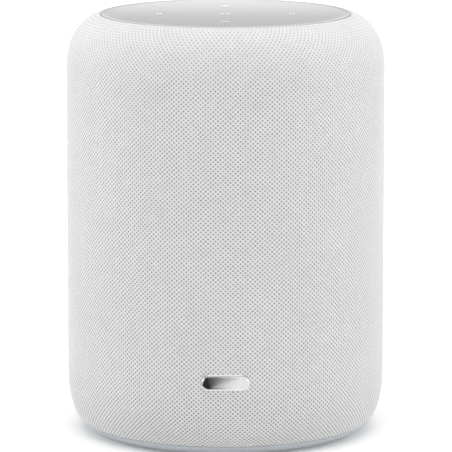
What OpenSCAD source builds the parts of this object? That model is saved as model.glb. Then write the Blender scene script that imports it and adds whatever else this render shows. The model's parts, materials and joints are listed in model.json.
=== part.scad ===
// Smart speaker: a fabric-covered cylinder with a touch panel on top, one woofer and one tweeter.
// Millimetres. +Z is up, the front faces -Y, and the origin is at the middle of the underside.

/* [Body] */
// Diameter of the body at its widest
body_d = 146; // [140:1:180]
// Height from the foot's underside to the rim of the touch panel
body_h = 193; // [190:1:240]
// How far the shoulder curve runs inwards from the side
shoulder_w = 23.3; // [20:0.1:26]
// How far the shoulder curve runs down the side
shoulder_h = 27.4; // [24:0.1:32]
// Squareness of the shoulder curve, where 2 is an ellipse
shoulder_n = 2.5; // [2.2:0.1:3]
// How far the foot curve runs inwards from the side
foot_w = 18.7; // [16:0.1:22]
// How far the foot curve runs up the side
foot_h = 30.2; // [24:0.1:36]
// Squareness of the foot curve, where 2 is an ellipse
foot_n = 2.66; // [2.2:0.02:3]

/* [Skin] */
// Distance from the side of the body to the rim of the touch panel, seen from above
rim_inset = 15.7; // [14:0.1:18]
// Thickness of the fabric sleeve
sleeve_t = 1.2; // [0.8:0.1:1.6]
// Depth of the sleeve's edge where it is tucked down beside the touch panel
tuck = 2; // [1:0.1:2.5]
// Thickness of the grille frame
frame_t = 2; // [1.6:0.1:2.4]
// Number of slots round the grille frame
slot_count = 24; // [16:2:36]
// Width of a slot in the grille frame
slot_w = 8; // [4:0.5:10]
// Rows of slots up the grille frame
slot_rows = 3; // [2:1:5]
// Thickness of the rib between two rows of slots
slot_rib = 5; // [3:0.5:8]

/* [Foot] */
// Height of the visible rubber foot ring
foot_ring_h = 5.2; // [4:0.1:7]
// Inner radius of the foot ring
foot_ring_inner = 46; // [40:0.5:50]
// Thickness of the base plate where the chassis stands on it
base_t = 3; // [2.4:0.1:4]
// Height of the recess under the middle of the base plate
base_recess = 2; // [1:0.1:3]

/* [Nameplate] */
// Width of the blank nameplate
badge_w = 22; // [16:0.5:30]
// Height of the blank nameplate
badge_h = 7.4; // [5:0.1:10]
// How far the nameplate stands out from the fabric
badge_t = 1; // [0.6:0.1:1.4]
// Height of the middle of the nameplate above the foot
badge_z = 36; // [34:0.5:40]

/* [Touch panel] */
// Thickness of the touch panel
panel_t = 3; // [2.4:0.1:4]
// Width of the bevel round the panel's top edge
panel_bevel = 0.4; // [0.2:0.1:0.8]
// Depth of the panel's dished middle below its rim
panel_dish = 0.4; // [0.2:0.1:0.8]
// Gap between the panel and the tucked fabric
panel_gap = 0.35; // [0.2:0.05:0.6]
// Distance from the panel's middle to each outer symbol
icon_ring_r = 31; // [24:0.5:38]
// Size of a touch symbol
icon_size = 3.8; // [3:0.1:5]
// Width of a symbol's strokes
icon_stroke = 0.8; // [0.6:0.1:1]
// Depth of the symbols' clear inlays
icon_depth = 1; // [0.6:0.1:1.4]

/* [Compartments] */
// Height of the power compartment between the base plate and the enclosure
power_h = 29.8; // [29:0.1:36]
// Height from the top of the enclosure to the rim of the touch panel
control_h = 24; // [23:0.5:30]
// Wall of the enclosure and of the lower chassis
wall = 3; // [2.4:0.1:3.6]
// Gap between the enclosure and the grille frame
enclosure_gap = 1; // [0.6:0.1:2]
// Thickness of the front baffle
baffle_t = 5; // [4:0.5:6]
// Distance of the baffle's front face from the axis
baffle_y = 44; // [42:0.5:48]
// Thickness of the enclosure's gasket
gasket_t = 1; // [0.6:0.1:2]
// Thickness of the circuit boards
board_t = 1.6; // [1:0.1:2]

/* [Woofer] */
// Diameter of the woofer's flange
woofer_d = 89; // [74:0.5:90]
// Thickness of the woofer's flange
flange_t = 2.5; // [2:0.1:3]
// Depth of the basket behind the baffle's front face
basket_depth = 26; // [24:0.5:30]
// Width of the surround's roll, between the cone's rim and the flange
surround_w = 5; // [4:0.1:6]
// Outer radius of the voice coil
coil_r = 10.3; // [9:0.1:11]
// Thickness of the magnet ring
magnet_t = 10; // [8:0.5:14]
// Radius of the magnet ring
magnet_r = 27; // [24:0.5:30]
// Travel of the cone each way
cone_travel = 4; // [3:0.1:4.5]
// Gap each side of the voice coil
coil_gap = 0.4; // [0.3:0.05:0.6]

/* [Tweeter] */
// Diameter of the tweeter's faceplate
tweeter_d = 36; // [32:0.5:37]
// Radius of the tweeter's dome
dome_r = 10; // [8:0.5:11]
// Height of the tweeter's dome
dome_h = 3; // [2:0.1:4]

/* [Rear connectors] */
// Inner width of the connector recess
recess_w = 62; // [60:1:66]
// Inner height of the connector recess
recess_h = 22; // [18:0.5:22]
// Radius of the recess's inner corners
recess_corner = 3; // [2:0.5:4]
// Height of the middle of the recess above the foot
recess_z = 24; // [23:0.5:24.5]
// Distance of the recess's floor from the axis
recess_y = 58; // [57:0.5:60]
// Thickness of the recess's floor
recess_floor = 2.5; // [2:0.1:3]
// Thickness of the recess's side walls
recess_wall = 2; // [1.6:0.1:2.4]
// Distance between the two pins of the mains inlet
pin_pitch = 8.6; // [8.4:0.1:8.8]
// Diameter of a mains pin
pin_d = 2.4; // [2:0.1:2.6]
// Depth of the mains inlet's cavity
inlet_depth = 13; // [11:0.5:14]
// Radius of the audio jack's bore
jack_r = 1.8; // [1.75:0.05:1.9]
// Length of the audio jack's bore
jack_depth = 14; // [12:0.5:16]
// Radius of the setup button
button_r = 2.7; // [2:0.1:3]
// Travel of the setup button
button_travel = 0.7; // [0.4:0.1:0.8]
// Travel of the microphone switch
switch_travel = 3; // [2:0.1:3.5]

/* [Fits] */
// Radial clearance between pieces that are assembled once
fit = 0.05; // [0.03:0.01:0.1]
// Gap round pieces that move, and beside pieces that drop in
free_gap = 0.3; // [0.25:0.05:0.4]
// Radius of an assembly screw's shank
screw_r = 1.5; // [1.2:0.1:1.6]

/* [Hidden] */

$fn = 96;
far = 200;                                  // reaches past the body in any direction
curve_steps = 16;                           // bands in each corner of the outline
body_r = body_d / 2;

// The outline: a straight side between two superelliptic corners, at any inset from the outer face
shoulder_x = body_r - shoulder_w;
foot_x = body_r - foot_w;
rim_r = body_r - rim_inset;
function arc_share(x, n) = pow(1 - pow(x, n), 1 / n);
shoulder_z = body_h - shoulder_h * arc_share((rim_r - shoulder_x) / shoulder_w, shoulder_n);
function shoulder_radius(z, inset) =
    shoulder_x + (shoulder_w - inset) * arc_share((z - shoulder_z) / (shoulder_h - inset), shoulder_n);
function foot_radius(z, inset) =
    foot_x + (foot_w - inset) * arc_share((foot_h - z) / (foot_h - inset), foot_n);
function corner(w, h, n, angle) = [w * pow(cos(angle), 2 / n), h * pow(sin(angle), 2 / n)];
function foot_points(inset, z_low) =
    let (last = asin(pow((foot_h - z_low) / (foot_h - inset), foot_n / 2)))
    [for (i = [curve_steps:-1:0])
        let (p = corner(foot_w - inset, foot_h - inset, foot_n, last * i / curve_steps))
        [foot_x + p[0], foot_h - p[1]]];
function shoulder_points(inset, r_end) =
    let (last = acos(pow((r_end - shoulder_x) / (shoulder_w - inset), shoulder_n / 2)))
    [for (i = [0:curve_steps])
        let (p = corner(shoulder_w - inset, shoulder_h - inset, shoulder_n, last * i / curve_steps))
        [shoulder_x + p[0], shoulder_z + p[1]]];
function outline(inset, z_low, r_end) = concat(foot_points(inset, z_low), shoulder_points(inset, r_end));
function backwards(list) = [for (i = [len(list) - 1:-1:0]) list[i]];

// Insets of the skins from the outer face
frame_out = sleeve_t + fit;
frame_in = frame_out + frame_t;

// Heights, from the foot up and from the rim down
base_top = foot_ring_h + base_t;
enclosure_low = base_top + power_h;
enclosure_high = body_h - control_h;
panel_low = body_h - panel_t;
deck_t = 4;                                 // the top chassis's deck, under the panel
skirt_t = 4;                                // and its wider skirt, under the deck
deck_low = panel_low - deck_t;
skirt_low = deck_low - skirt_t;

// Radii of what stands inside the grille frame
chassis_r = foot_radius(base_top, frame_in) - free_gap;
enclosure_r = body_r - frame_in - enclosure_gap;
base_r = foot_radius(foot_ring_h, frame_in) - free_gap;
panel_r = rim_r - panel_gap;
deck_r = panel_r - 1;
skirt_r = shoulder_radius(deck_low, frame_in) - 2 * free_gap;

// Places of the drivers and of what is fixed by screws
driver_margin = 1.5;                        // from a driver's edge to the enclosure's end
woofer_r = woofer_d / 2;
tweeter_r = tweeter_d / 2;
woofer_z = enclosure_low + driver_margin + woofer_r;
tweeter_z = enclosure_high - driver_margin - tweeter_r;
small_screw_r = 1;
small_head_r = 1.7;
small_screw_l = 7;
flange_screw_r = woofer_r - 2;
tweeter_screw_r = tweeter_r - 2;
boss_r = 4;
boss_h = 11;
boss_ring_r = chassis_r - wall - boss_r + 0.2;
corner_boss_r = 3.2;
corner_x = 47;
corner_zs = [enclosure_low + wall + corner_boss_r - 0.5, enclosure_high - wall - corner_boss_r + 0.5];
gasket_y = -baffle_y + baffle_t;
shell_y = gasket_y + gasket_t;
post_r = 3;
post_h = 4;
leg_x = 48;
leg_y = 30;
main_board_r = 48;
main_post_x = 34;
main_post_y = 24;
main_board_z = enclosure_high + post_h;
touch_board_r = 50;
touch_board_z = deck_low - board_t;
power_board_w = 84;
power_board_l = 58;
power_board_y = -5;
power_board_z = base_top + 4.5;
power_board_top = power_board_z + board_t;
power_post_x = power_board_w / 2 - 5;
power_post_y = power_board_l / 2 - 5;
amp_y = -46;
amp_w = 68;
lead_r = 0.8;
lead_pitch = 2.4;
lead_x = -28.8;
lead_y = -30;
grommet_r = 4;

// Places of the rear connectors, across the recess
inlet_x = 16;
jack_x = -1;
usb_x = -11.5;
button_x = -20;
switch_x = -27;
inlet_lobe_r = 4.6;
inlet_body = [25, 18, 15];
inlet_flange = [27, 0.8, 17];
jack_body = 8;
board_top_z = recess_z - jack_body / 2;
board_rear_y = recess_y - 4.5;
usb_size = [9, 9, 3.2];
usb_z = board_top_z + usb_size[2] / 2;
floor_back_y = recess_y - recess_floor;
collar_t = 0.9;
collar_y = floor_back_y - free_gap;
slot_half_w = 1.8;
slider_half = [1.5, 2];
slider_rest_z = recess_z - switch_travel / 2;
button_collar_r = button_r + 1;
switch_half_w = button_x - button_collar_r - free_gap - switch_x;

// A ring about Z, and a tube seen as a ring about Z
module ring(r_out, r_in, z, h) {
    translate([0, 0, z]) difference() {
        cylinder(r = r_out, h = h);
        translate([0, 0, -1]) cylinder(r = r_in, h = h + 2);
    }
}

// A block given by its low corner and its high corner
module span(low, high) {
    translate(low) cube(high - low);
}

// The four places round the axis at radius r, starting at 45 degrees
module at_four(r) {
    for (a = [45:90:315]) rotate(a) translate([r, 0, 0]) children();
}

// Turns a driver, drawn facing +Z with z = 0 on the baffle's front face, to face the front
module facing_front(z) {
    translate([0, -baffle_y, z]) rotate([90, 0, 0]) children();
}

// A cylinder along +Y
module rod_y(p, r, l) {
    translate(p) rotate([-90, 0, 0]) cylinder(r = r, h = l, $fn = 48);
}

// A round wire through a list of points
module wire(points, r) {
    for (i = [0:len(points) - 2]) {
        a = points[i];
        d = points[i + 1] - a;
        translate(a) rotate([0, acos(d[2] / norm(d)), atan2(d[1], d[0])])
            cylinder(r = r, h = norm(d), $fn = 24);
    }
    for (i = [1:len(points) - 2]) translate(points[i]) sphere(r = r, $fn = 24);
}

// The recess's opening grown by g, as a bar with rounded corners along Y
module recess_bar(g, y_low, y_high) {
    w = recess_w / 2 + g;
    h = recess_h / 2 + g;
    r = recess_corner + g;
    span([-w, y_low, recess_z - h + r], [w, y_high, recess_z + h - r]);
    span([-w + r, y_low, recess_z - h], [w - r, y_high, recess_z + h]);
    for (x = [-1, 1], z = [-1, 1])
        rod_y([x * (w - r), y_low, recess_z + z * (h - r)], r, y_high - y_low);
}

// What the recess at the back takes away from the skins and the lower chassis
module recess_cut() {
    recess_bar(recess_wall + free_gap, recess_y - 10, far);
}

module foot_ring() {
    color("#9fa3a8") rotate_extrude()
        polygon(concat([[foot_ring_inner, 0]], foot_ring_points(), [[foot_ring_inner, foot_ring_h]]));
}
foot_band_steps = 8;
function foot_ring_points() =
    [for (i = [0:foot_band_steps])
        let (z = foot_ring_h * pow(i / foot_band_steps, 2))
        [foot_radius(z, 0), z]];

module base_plate() {
    color("#3a3d40") difference() {
        union() {
            translate([0, 0, foot_ring_h]) cylinder(r = base_r, h = base_t);
            translate([0, 0, base_recess])
                cylinder(r = foot_ring_inner - fit, h = foot_ring_h - base_recess + 1);
            for (x = [-power_post_x, power_post_x], y = [-power_post_y, power_post_y])
                translate([x, power_board_y + y, base_top - 1])
                    cylinder(r = post_r, h = power_board_z - base_top + 1);
        }
        at_four(boss_ring_r) {
            translate([0, 0, foot_ring_h - 1]) cylinder(r = screw_r + fit, h = base_t + 2);
            translate([0, 0, foot_ring_h - 1]) cylinder(r = 2 * screw_r + fit, h = base_t / 2 + 1);
        }
    }
}

module base_screws() {
    color("silver") at_four(boss_ring_r) {
        translate([0, 0, foot_ring_h]) cylinder(r = 2 * screw_r, h = base_t / 2);
        translate([0, 0, foot_ring_h + base_t / 2]) cylinder(r = screw_r, h = boss_h - 2);
    }
}

module lower_chassis() {
    color("#2f3234") difference() {
        union() {
            ring(chassis_r, chassis_r - wall, base_top, power_h);
            at_four(boss_ring_r) translate([0, 0, base_top]) cylinder(r = boss_r, h = boss_h);
        }
        at_four(boss_ring_r) translate([0, 0, base_top - 1]) cylinder(r = screw_r + fit, h = boss_h);
        recess_cut();
    }
}

module grille_frame() {
    low = outline(frame_out, foot_ring_h, rim_r + frame_out);
    high = outline(frame_in, foot_ring_h, rim_r + frame_out);
    first = badge_z + 12;
    pitch = (shoulder_z - 8 - first) / slot_rows;
    color("#6b6f72") difference() {
        rotate_extrude() polygon(concat(low, backwards(high)));
        for (row = [0:slot_rows - 1], i = [0:slot_count - 1])
            rotate(360 * (i + 0.5) / slot_count)
                translate([body_r / 2, -slot_w / 2, first + row * pitch])
                    cube([body_r, slot_w, pitch - slot_rib]);
        recess_cut();
        badge_pins(fit + 0.1);
    }
}

module fabric_sleeve() {
    edge_z = body_h - tuck;
    color("#c9cacb") difference() {
        rotate_extrude() polygon(concat(
            outline(0, foot_ring_h, rim_r),
            [[rim_r, edge_z], [rim_r + sleeve_t, edge_z]],
            backwards(outline(sleeve_t, foot_ring_h, rim_r + sleeve_t))));
        recess_cut();
        badge_pins(fit + 0.1);
    }
}

// The two pins that hold the nameplate, with room round them in the skins
module badge_pins(room) {
    for (x = [-1, 1])
        rod_y([x * badge_w / 4, -body_r - badge_t / 2, badge_z], 0.9 + room, frame_in + badge_t);
}

module badge() {
    color("#d8d8d8") {
        intersection() {
            translate([0, 0, badge_z - badge_h]) difference() {
                cylinder(r = body_r + badge_t, h = 2 * badge_h);
                translate([0, 0, -1]) cylinder(r = body_r + fit, h = 2 * badge_h + 2);
            }
            union() {
                for (x = [-1, 1]) rod_y([x * (badge_w - badge_h) / 2, -far, badge_z], badge_h / 2, far);
                span([-(badge_w - badge_h) / 2, -far, badge_z - badge_h / 2],
                     [(badge_w - badge_h) / 2, 0, badge_z + badge_h / 2]);
            }
        }
        badge_pins(0);
    }
}

// The panel's dished top, as points from its middle to its rim
dish_steps = 12;
dish_r = panel_r - panel_bevel;
function dish_points() =
    [for (i = [0:dish_steps])
        let (r = dish_r * i / dish_steps)
        [r, body_h - panel_dish * (1 - pow(r / dish_r, 2))]];

module panel_blank() {
    rotate_extrude() polygon(concat(
        [[0, panel_low]], dish_points(), [[panel_r, body_h - panel_bevel], [panel_r, panel_low]]));
}

module top_panel() {
    color("#c6c8c9") difference() {
        panel_blank();
        translate([0, 0, body_h - panel_dish - icon_depth]) touch_symbols(fit);
    }
}

module touch_icons() {
    color("white") intersection() {
        panel_blank();
        translate([0, 0, body_h - panel_dish - icon_depth]) touch_symbols(0);
    }
}

// An upright bar, and an arrowhead that points along +X, both grown by g on every side
symbol_h = panel_dish + icon_depth + 1;
module bar(p, size, g) {
    translate([p[0] - size[0] / 2 - g, p[1] - size[1] / 2 - g, 0])
        cube([size[0] + 2 * g, size[1] + 2 * g, symbol_h]);
}
module arrow(p, l, h, g) {
    translate([p[0], p[1], 0]) linear_extrude(symbol_h)
        polygon([[-l / 2 - g, -h / 2 - 2 * g], [l / 2 + 2 * g, 0], [-l / 2 - g, h / 2 + 2 * g]]);
}

// All five symbols, standing on Z = 0
module touch_symbols(g) {
    s = icon_size;
    w = icon_stroke;
    arrow([-s * 0.32, 0], s * 0.44, s * 0.6, g);
    for (x = [0.16, 0.44]) bar([s * x, 0], [w * 0.7, s * 0.6], g);
    translate([0, icon_ring_r, 0]) {
        bar([0, 0], [s, w], g);
        bar([0, 0], [w, s], g);
    }
    translate([0, -icon_ring_r, 0]) bar([0, 0], [s, w], g);
    for (side = [-1, 1]) rotate(90 - 90 * side) translate([icon_ring_r, 0, 0]) {
        for (x = [-0.28, 0.14]) arrow([s * x, 0], s * 0.36, s * 0.56, g);
        bar([s * 0.46, 0], [w * 0.6, s * 0.56], g);
    }
}

module icon_places() {
    children();
    for (a = [0:90:270]) rotate(a) translate([icon_ring_r, 0, 0]) children();
}

guide_r = 2.8;
module light_guides() {
    color("#f4f6f8") icon_places() translate([0, 0, deck_low]) cylinder(r = guide_r, h = deck_t);
}

module top_chassis() {
    color("#34373a") difference() {
        union() {
            translate([0, 0, deck_low]) cylinder(r = deck_r, h = deck_t);
            ring(skirt_r, touch_board_r + free_gap, skirt_low, skirt_t);
            for (x = [-1, 1], y = [-1, 1])
                translate([x * leg_x, y * leg_y, enclosure_high])
                    cylinder(r = post_r, h = skirt_low - enclosure_high + 1);
        }
        icon_places() translate([0, 0, deck_low - 1]) cylinder(r = guide_r + fit, h = deck_t + 2);
    }
}

module touch_board() {
    color("#1f5a3a") translate([0, 0, touch_board_z]) cylinder(r = touch_board_r, h = board_t);
}

module microphones() {
    h = 1.2;
    color("silver") at_four(touch_board_r - 8) translate([0, 0, touch_board_z - h]) cylinder(r = 2.5, h = h);
}

module main_board() {
    color("#1f5a3a") translate([0, 0, main_board_z]) cylinder(r = main_board_r, h = board_t);
}

module shield_can() {
    color("silver") translate([-17, -15, main_board_z + board_t]) cube([34, 30, 3]);
}

module antennas() {
    size = [0.8, 32, 9];
    color("#b08030") for (side = [-1, 1])
        translate([side * (skirt_r - 3) - size[0] / 2, -size[1] / 2, enclosure_high]) cube(size);
}

module ribbon_cable() {
    color("#e6e6e0") span([-7, 38, main_board_z + board_t], [7, 38.4, touch_board_z]);
}

// The slab of the enclosure between two planes across Y
module enclosure_slab(y_low, y_high, inset) {
    intersection() {
        translate([0, 0, enclosure_low + inset])
            cylinder(r = enclosure_r - inset, h = enclosure_high - enclosure_low - 2 * inset);
        span([-far, y_low, 0], [far, y_high, far + body_h]);
    }
}

module corner_rods(y, l, r) {
    for (x = [-corner_x, corner_x], z = corner_zs) rod_y([x, y, z], r, l);
}

woofer_hole_r = woofer_r - 6;
tweeter_hole_r = tweeter_r - 3;
module front_baffle() {
    color("#2b2d2f") difference() {
        enclosure_slab(-baffle_y, gasket_y, 0);
        rod_y([0, -baffle_y - 1, woofer_z], woofer_hole_r, baffle_t + 2);
        rod_y([0, -baffle_y - 1, tweeter_z], tweeter_hole_r, baffle_t + 2);
        corner_rods(-baffle_y - 1, baffle_t + 2, screw_r + fit);
        facing_front(woofer_z) at_four(flange_screw_r) small_screw_hole();
        facing_front(tweeter_z) at_four(tweeter_screw_r) small_screw_hole();
    }
}

module enclosure_gasket() {
    color("#141414") difference() {
        enclosure_slab(gasket_y, shell_y, 0);
        enclosure_slab(gasket_y - 1, shell_y + 1, wall);
    }
}

corner_boss_l = 14;
module rear_enclosure() {
    color("#2b2d2f") difference() {
        union() {
            difference() {
                enclosure_slab(shell_y, far, 0);
                enclosure_slab(shell_y - 1, far, wall);
            }
            corner_rods(shell_y, corner_boss_l, corner_boss_r);
            for (x = [-main_post_x, main_post_x], y = [-main_post_y, main_post_y])
                translate([x, y, enclosure_high - 1]) cylinder(r = post_r, h = post_h + 1);
        }
        corner_rods(shell_y - 1, corner_boss_l - 1, screw_r + fit);
        translate([lead_x, lead_y, enclosure_low - 1]) cylinder(r = grommet_r + fit, h = wall + 2);
    }
}

module enclosure_screws() {
    color("silver") {
        corner_rods(-baffle_y, corner_boss_l, screw_r);
        corner_rods(-baffle_y - 2, 2, 2 * screw_r);
    }
}

module wadding() {
    color("#e8e6e0") intersection() {
        enclosure_slab(6, far, wall + free_gap);
        span([-far, 0, enclosure_low + 8], [far, far, enclosure_high - 8]);
    }
}

// Woofer, drawn facing +Z. The basket tapers from the flange's hole to the magnet's seat
basket_out = woofer_hole_r - free_gap;
basket_in = basket_out - 1.2;
seat_r = 21;
coil_in = coil_r - 0.7;
plate_t = 3;
spider_z = -20;
surround_seat = 1.6;                        // the lip that is glued to the flange, beside the screws
surround_lip = flange_screw_r - small_head_r - surround_seat;
cone_r = surround_lip - surround_w;
surround_mid = (cone_r + surround_lip) / 2;
surround_roll = surround_w / 2;
surround_t = 0.5;

module woofer_basket() {
    color("#55585b") facing_front(woofer_z) difference() {
        union() {
            ring(woofer_r, basket_in, 0, flange_t);
            rotate_extrude() polygon([
                [basket_out, 0.5], [basket_out, -6], [seat_r, -basket_depth + 2], [seat_r, -basket_depth],
                [coil_r + 1.2, -basket_depth], [coil_r + 1.2, -basket_depth + 1.5],
                [seat_r - 1.5, -basket_depth + 1.5], [seat_r - 1.5, -22], [seat_r - 1.5, -20.4],
                [seat_r + 1, -20.4], [basket_in, -6], [basket_in, 0.5]]);
        }
        for (a = [0:90:270]) rotate(a) translate([seat_r, -9, -17]) cube([woofer_r, 18, 10]);
        at_four(flange_screw_r) small_screw_hole();
    }
}

module woofer_top_plate() {
    color("#8a8d90") facing_front(woofer_z)
        ring(magnet_r - 4, coil_r + coil_gap, -basket_depth - plate_t, plate_t);
}

module woofer_magnet() {
    color("#3b3b3d") facing_front(woofer_z)
        ring(magnet_r, coil_r + 3, -basket_depth - plate_t - magnet_t, magnet_t);
}

module woofer_yoke() {
    back = -basket_depth - plate_t - magnet_t;
    color("#8a8d90") facing_front(woofer_z) {
        translate([0, 0, back - plate_t - 1]) cylinder(r = magnet_r - 2, h = plate_t + 1);
        translate([0, 0, back - 1]) cylinder(r = coil_in - coil_gap, h = magnet_t + plate_t + 1);
    }
}

module voice_coil() {
    low = -basket_depth - plate_t - magnet_t + cone_travel + 2;
    color("#b87333") facing_front(woofer_z) ring(coil_r, coil_in, low, -14.5 - low);
}

cone_neck_z = -15;
cone_t = 0.7;
module woofer_cone() {
    rim = flange_t;
    color("#1e1f21") facing_front(woofer_z) rotate_extrude() polygon([
        [coil_r + fit, cone_neck_z - 2], [coil_r + 0.9, cone_neck_z - 2], [coil_r + 0.9, cone_neck_z - 0.4],
        [cone_r - 2.6, rim - cone_t], [cone_r, rim - cone_t], [cone_r, rim],
        [cone_r - 2.9, rim], [coil_r + fit, cone_neck_z + 0.5]]);
}

cap_r = 12;
cap_h = 4;
cap_z = -14.5 + (flange_t + 14.5) * (cap_r - coil_r - fit) / (cone_r - 2.9 - coil_r - fit) + fit;
cap_t = 0.5;
function dome_points(r, h, z) =
    [for (i = [0:10]) [r * cos(9 * i), z + h * sin(9 * i)]];
module dust_cap() {
    color("#18191a") facing_front(woofer_z) rotate_extrude() polygon(concat(
        dome_points(cap_r, cap_h, cap_z), backwards(dome_points(cap_r - cap_t, cap_h - cap_t, cap_z))));
}

module woofer_surround() {
    z = flange_t;
    steps = 12;
    outer = [for (i = [0:steps]) let (a = 180 * i / steps)
        [surround_mid + (surround_roll + surround_t) * cos(a), z + (surround_roll + surround_t) * sin(a)]];
    inner = [for (i = [steps:-1:0]) let (a = 180 * i / steps)
        [surround_mid + surround_roll * cos(a), z + surround_roll * sin(a)]];
    color("#101010") facing_front(woofer_z) union() {
        rotate_extrude() polygon(concat(outer, inner));
        ring(surround_lip + surround_seat, surround_lip, z, surround_t);
        ring(cone_r, cone_r - 2.4, z, surround_t);
    }
}

spider_steps = 6;
module woofer_spider() {
    r0 = coil_r + fit;
    r1 = seat_r + 0.6;
    rise = 0.7;
    crest = [for (i = [0:spider_steps])
        [r0 + (r1 - r0) * i / spider_steps, spider_z + (i % 2 == 0 ? 0 : rise)]];
    color("#c8a050") facing_front(woofer_z)
        rotate_extrude() polygon(concat(crest, [for (p = backwards(crest)) p - [0, 0.4]]));
}

module small_screw() {
    translate([0, 0, -small_screw_l + flange_t]) cylinder(r = small_screw_r, h = small_screw_l);
    translate([0, 0, flange_t]) cylinder(r = small_head_r, h = 1);
}
module small_screw_hole() {
    translate([0, 0, -small_screw_l + flange_t - 1]) cylinder(r = small_screw_r + fit, h = small_screw_l + 2);
}
module driver_screws() {
    color("silver") {
        facing_front(woofer_z) at_four(flange_screw_r) small_screw();
        facing_front(tweeter_z) at_four(tweeter_screw_r) small_screw();
    }
}

// Tweeter, drawn facing +Z. The faceplate has a sleeve behind it that holds the magnet
tweeter_coil = dome_r - 0.2;
tweeter_magnet_r = tweeter_hole_r - 1.2;
module tweeter_faceplate() {
    color("#202224") facing_front(tweeter_z) difference() {
        union() {
            rotate_extrude() polygon([
                [dome_r + 1, 0], [tweeter_r, 0], [tweeter_r, flange_t],
                [dome_r + 2.6, flange_t], [dome_r + 1, 1]]);
            ring(tweeter_hole_r - 2 * fit, tweeter_magnet_r + fit, -13, 13.5);
        }
        at_four(tweeter_screw_r) small_screw_hole();
    }
}

module tweeter_magnet() {
    color("#3b3b3d") facing_front(tweeter_z) {
        ring(tweeter_magnet_r, tweeter_coil + coil_gap, -13, 12);
        translate([0, 0, -15]) cylinder(r = tweeter_magnet_r, h = 2);
        translate([0, 0, -14]) cylinder(r = tweeter_coil - 0.4 - coil_gap, h = 13);
    }
}

module tweeter_dome() {
    color("#9a9da0") facing_front(tweeter_z) {
        rotate_extrude() polygon(concat(
            dome_points(dome_r, dome_h, 0.4), backwards(dome_points(dome_r - 0.4, dome_h - 0.4, 0.4))));
        ring(tweeter_coil, tweeter_coil - 0.4, -6, 6.6);
    }
}

module power_board() {
    color("#1f5a3a") translate([-power_board_w / 2, power_board_y - power_board_l / 2, power_board_z])
        cube([power_board_w, power_board_l, board_t]);
}

module transformer() {
    color("#c9a227") translate([-22, -14, power_board_top]) {
        translate([-14, -12, 0]) cube([28, 24, 4]);
        translate([-9, -8, 4]) cube([18, 16, 12]);
        translate([-14, -12, 16]) cube([28, 24, 3.5]);
    }
}

module capacitors() {
    color("#30343a") for (c = [[10, -22, 6.5, 18], [26, -22, 6.5, 18], [20, -1, 8, 19], [-6, 12, 5, 14]])
        translate([c[0], c[1], power_board_top]) cylinder(r = c[2], h = c[3]);
}

module amplifier_board() {
    color("#1f5a3a") span([-amp_w / 2, amp_y - board_t, base_top], [amp_w / 2, amp_y, enclosure_low - 2]);
}

module heat_sink() {
    z0 = base_top + 4;
    z1 = enclosure_low - 4;
    color("#a8abae") {
        span([-20, amp_y, z0], [20, amp_y + 1.5, z1]);
        for (x = [-20:5:18]) span([x, amp_y + 1, z0], [x + 1.5, amp_y + 6, z1]);
    }
}

// The tub in the back that the connectors sit in, trimmed flush with the skin
module connector_panel() {
    color("#3a3d40") difference() {
        intersection() {
            recess_bar(recess_wall, floor_back_y, far);
            rotate_extrude() polygon(concat(
                [[0, foot_ring_h]], outline(0, foot_ring_h, rim_r), [[0, body_h]]));
        }
        recess_bar(0, recess_y, far);
        span([inlet_x - inlet_body[0] / 2 - fit, 0, recess_z - inlet_body[2] / 2 - fit],
             [inlet_x + inlet_body[0] / 2 + fit, far, recess_z + inlet_body[2] / 2 + fit]);
        rod_y([jack_x, 0, recess_z], jack_neck_r + fit, far);
        usb_outline(fit, 0, far);
        rod_y([button_x, 0, recess_z], button_r + free_gap, far);
        span([switch_x - slot_half_w, 0, slider_rest_z - slider_half[1] - free_gap],
             [switch_x + slot_half_w, far, slider_rest_z + slider_half[1] + switch_travel + free_gap]);
    }
}

module inlet_cavity() {
    y = recess_y + inlet_flange[1] - inlet_depth;
    for (side = [-1, 1]) rod_y([inlet_x + side * pin_pitch / 2, y, recess_z], inlet_lobe_r, inlet_depth + 1);
    span([inlet_x - pin_pitch / 2, y, recess_z - 3.4],
         [inlet_x + pin_pitch / 2, recess_y + 2, recess_z + 3.4]);
}

module mains_inlet() {
    b = inlet_body;
    f = inlet_flange;
    color("#1a1b1c") difference() {
        union() {
            span([inlet_x - b[0] / 2, recess_y - b[1], recess_z - b[2] / 2],
                 [inlet_x + b[0] / 2, recess_y + f[1] / 2, recess_z + b[2] / 2]);
            span([inlet_x - f[0] / 2, recess_y, recess_z - f[2] / 2],
                 [inlet_x + f[0] / 2, recess_y + f[1], recess_z + f[2] / 2]);
        }
        inlet_cavity();
        for (side = [-1, 1])
            rod_y([inlet_x + side * pin_pitch / 2, recess_y - b[1] - 1, recess_z], pin_d / 2 + fit, b[1]);
    }
}

module inlet_pins() {
    y = recess_y - inlet_body[1];
    color("#c9ccd0") for (side = [-1, 1])
        rod_y([inlet_x + side * pin_pitch / 2, y - 2, recess_z], pin_d / 2, inlet_body[1] - 1);
}

module mains_leads() {
    y = recess_y - inlet_body[1] - 2;
    color("#5a3a28") for (side = [-1, 1]) {
        x = inlet_x + side * pin_pitch / 2;
        wire([[x, y, recess_z], [x, y - 18, recess_z], [x, y - 18, power_board_top]], lead_r);
    }
}

module connector_board() {
    color("#1f5a3a")
        span([switch_x - 5, recess_y - 20, board_top_z - board_t], [jack_x + 4, board_rear_y, board_top_z]);
}

jack_neck_r = 3;
module audio_jack() {
    color("#17181a") difference() {
        union() {
            span([jack_x - jack_body / 2, recess_y - jack_depth, board_top_z],
                 [jack_x + jack_body / 2, floor_back_y, board_top_z + jack_body]);
            rod_y([jack_x, floor_back_y - 1, recess_z], jack_neck_r, recess_floor + 1);
        }
        rod_y([jack_x, recess_y - jack_depth - 1, recess_z], jack_r, jack_depth + 2);
    }
}

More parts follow.
